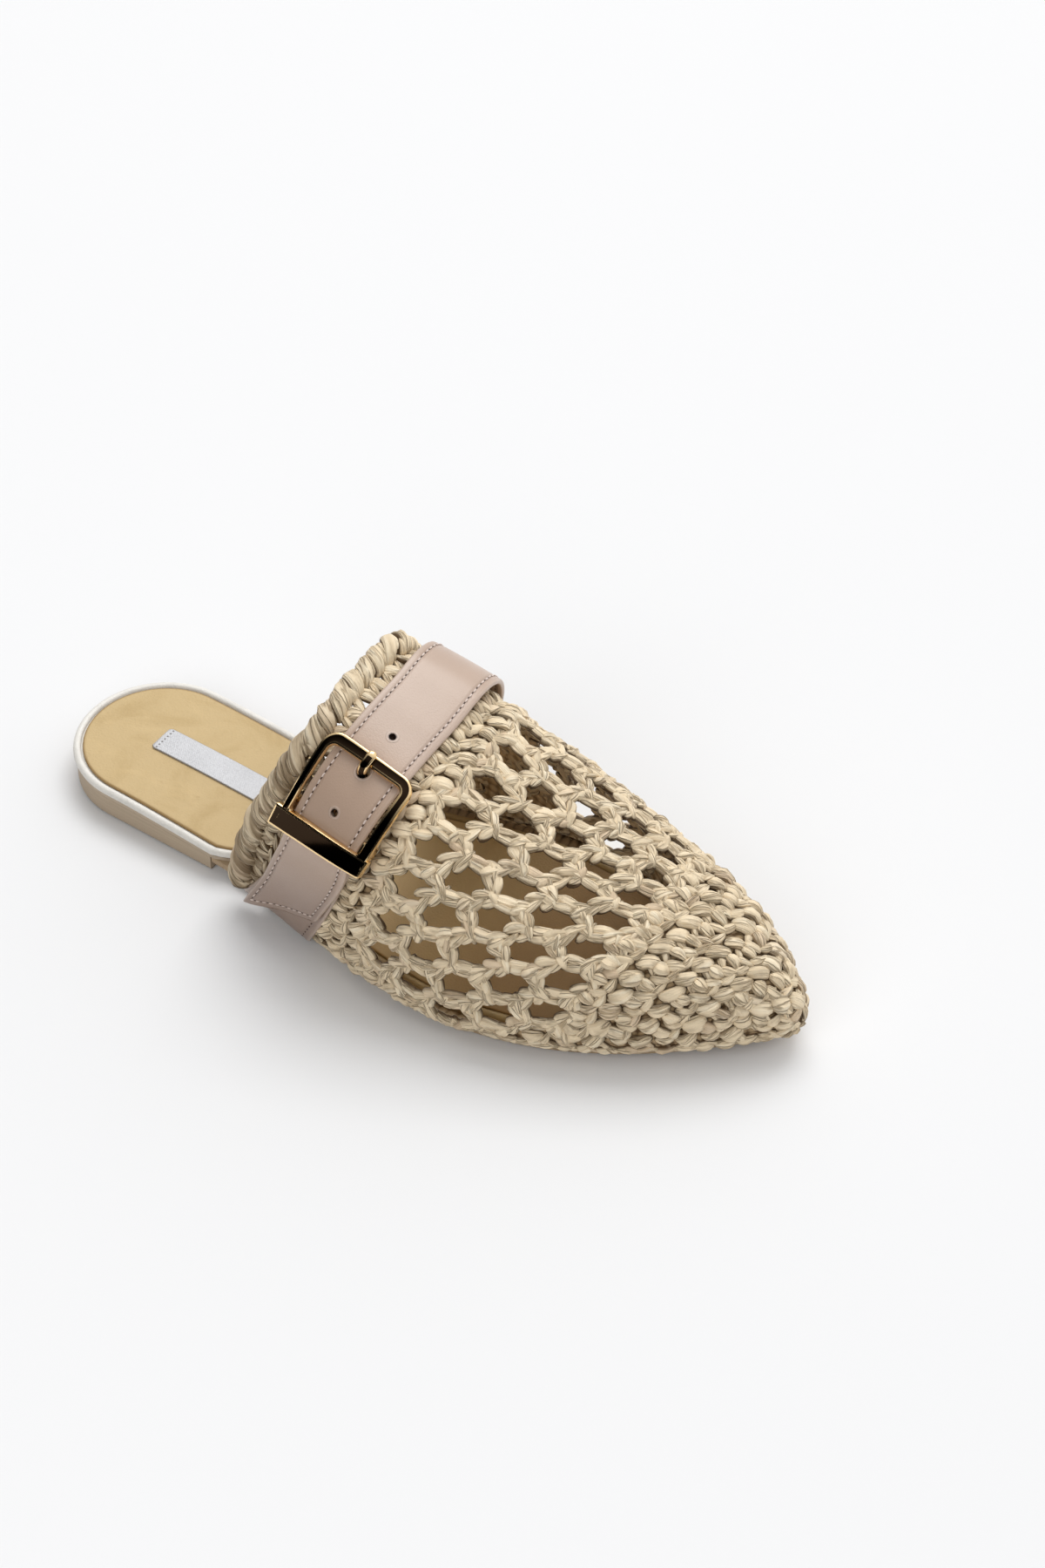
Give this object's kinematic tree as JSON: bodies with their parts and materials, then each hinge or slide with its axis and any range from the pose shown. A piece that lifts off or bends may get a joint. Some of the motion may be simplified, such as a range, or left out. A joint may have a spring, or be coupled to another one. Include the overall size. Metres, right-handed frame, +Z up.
{
  "type": "crocheted raffia mule slipper",
  "caption": "Open-heeled flat slipper with a pointed toe, a crocheted raffia net upper and a buckled leather strap over the instep, right foot.",
  "frame": {"origin": "middle of the heel's tread, on the floor", "axes": "+X to the toe, +Y to the inner side of the foot (left), +Z up"},
  "size_m": [0.2671, 0.093, 0.082],
  "materials": {
    "heel": "matte taupe",
    "sole": "matte tan",
    "footbed": "smooth off-white, satin",
    "insole": "mottled tan, satin",
    "label": "silver satin",
    "raffia": "natural paper raffia, low sheen",
    "strap": "blush, soft sheen",
    "buckle": "polished gold"
  },
  "bodies": {
    "root": {"heel_block": "heel", "outsole": "sole", "footbed": "footbed", "insole": "insole", "insole_label": "label", "upper": "raffia", "collar_roll": "raffia", "strap": "strap", "strap_base": "strap", "buckle_frame": "buckle", "buckle_prong": "buckle"}
  },
  "joints": []
}
